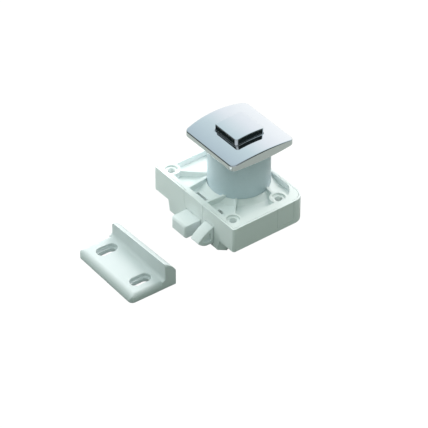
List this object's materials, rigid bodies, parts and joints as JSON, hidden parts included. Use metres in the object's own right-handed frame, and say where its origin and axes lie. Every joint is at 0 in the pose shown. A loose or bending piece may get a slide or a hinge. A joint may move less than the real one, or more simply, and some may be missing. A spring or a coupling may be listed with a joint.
{
  "type": "press knob latch",
  "caption": "Push-push door latch: plastic case with dead bolt and sprung catch, barrel through the door, chrome rosette and square knob, and its L-shaped strike.",
  "frame": {"origin": "on the barrel axis at the plane of the case's rim, which meets the inner face of the door", "axes": "+Z along the barrel out to the knob, -Y the way the bolts point, +X along the front face towards the sprung catch"},
  "size_m": [0.0572, 0.0936, 0.0462],
  "materials": {
    "case_plastic": "satin white moulding",
    "barrel_plastic": "smooth pale blue-grey moulding",
    "chrome": "mirror chrome plate",
    "inner_plastic": "plain moulding",
    "bolt_plastic": "smooth white moulding",
    "strike_plastic": "satin white moulding",
    "steel": "bright spring steel"
  },
  "bodies": {
    "case": {"base_plate": "case_plastic", "rear_cover": "case_plastic", "barrel": "barrel_plastic", "rosette": "chrome", "strike": "strike_plastic", "knob_spring_left": "steel", "knob_spring_right": "steel", "catch_spring": "steel"},
    "knob": {"knob_cap": "chrome", "knob_stem": "inner_plastic", "drive_pin": "steel"},
    "bolt": {"bolt": "bolt_plastic"},
    "catch": {"catch": "bolt_plastic"},
    "follower": {"cam_wire": "steel"}
  },
  "joints": [
    {"name": "knob_slide", "type": "slide", "parent": "case", "child": "knob", "axis": [0, 0, 1], "range_m": [-0.001, 0.01], "deforming": ["knob_spring_left", "knob_spring_right"]},
    {"name": "bolt_slide", "type": "slide", "parent": "case", "child": "bolt", "axis": [0, 1, 0], "range_m": [-0.00084, 0.0084]},
    {"name": "follower_swing", "type": "hinge", "parent": "case", "child": "follower", "pos_m": [0, 0.0105, -0.0077], "axis": [0, 1, 0], "range_deg": [-0.9, 9]},
    {"name": "catch_slide", "type": "slide", "parent": "case", "child": "catch", "axis": [0, 1, 0], "range_m": [0, 0.008], "stiffness_N_per_m": 250, "springref_m": -0.008, "deforming": ["catch_spring"]}
  ],
  "couplings": [
    {"joint": "bolt_slide", "follows": "knob_slide", "ratio": 0.84},
    {"joint": "follower_swing", "follows": "knob_slide", "rad_per_m": 15.708}
  ]
}
